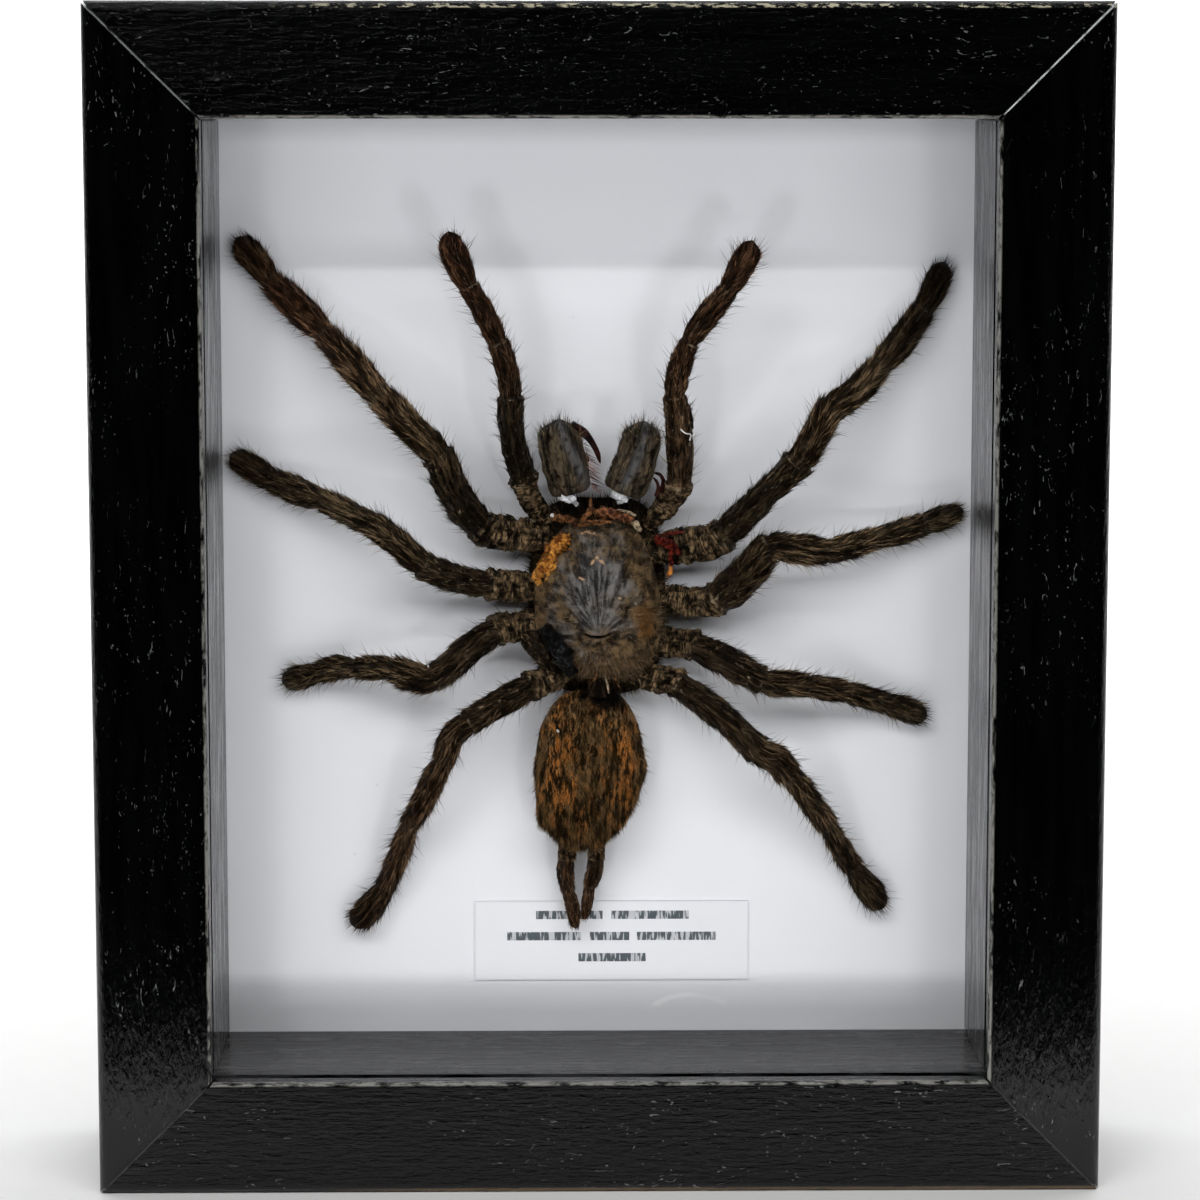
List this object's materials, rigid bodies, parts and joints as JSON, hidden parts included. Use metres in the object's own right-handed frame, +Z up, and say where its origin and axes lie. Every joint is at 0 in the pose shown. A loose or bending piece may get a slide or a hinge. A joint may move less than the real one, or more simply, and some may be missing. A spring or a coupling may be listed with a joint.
{
  "type": "framed tarantula specimen",
  "caption": "Dried tarantula with legs spread, mounted on a white card behind glass in a black painted wooden box frame.",
  "frame": {"origin": "centre of the bottom of the frame, halfway through its depth", "axes": "+Z up along the frame's height; the glass faces -Y; +X to the right as the front is seen"},
  "size_m": [0.15, 0.038, 0.177],
  "materials": {
    "frame_paint": "wood brushed with black gloss paint, faint grain and specks",
    "wall_paint": "thin wooden strip in black gloss paint, mirror-like at a low angle",
    "glass": "clear picture glass",
    "mount_card": "smooth matt white card with a few specks of dust",
    "label": "white sticker with plain grey ruled bars",
    "hardboard": "brown pressed fibre board",
    "steel_point": "thin stamped steel",
    "carapace": "dried cuticle, worn blue-grey in the middle and brown at the sides, with orange crusts",
    "abdomen": "dried skin under matted brown hair with rusty flecks",
    "limb_hair": "dried cuticle under dense dark brown hair with tan streaks",
    "jaw": "olive-brown streaked cuticle, a little glossy",
    "fang": "hard glossy black horn"
  },
  "bodies": {
    "root": {"rail_top": "frame_paint", "rail_bottom": "frame_paint", "rail_left": "frame_paint", "rail_right": "frame_paint", "point_top": "steel_point", "point_bottom": "steel_point", "point_left_upper": "steel_point", "point_left_lower": "steel_point", "point_right_upper": "steel_point", "point_right_lower": "steel_point", "glass_pane": "glass", "wall_top": "wall_paint", "wall_bottom": "wall_paint", "wall_left": "wall_paint", "wall_right": "wall_paint", "mount_card": "mount_card", "back_board": "hardboard", "label": "label", "prosoma": "carapace", "abdomen": "abdomen", "leg_1_left": "limb_hair", "leg_1_right": "limb_hair", "leg_2_left": "limb_hair", "leg_2_right": "limb_hair", "leg_3_left": "limb_hair", "leg_3_right": "limb_hair", "leg_4_left": "limb_hair", "leg_4_right": "limb_hair", "pedipalp_left": "limb_hair", "pedipalp_right": "limb_hair", "chelicera_left": "jaw", "chelicera_right": "jaw", "fang_left": "fang", "fang_right": "fang", "spinneret_left": "limb_hair", "spinneret_right": "limb_hair"}
  },
  "joints": []
}
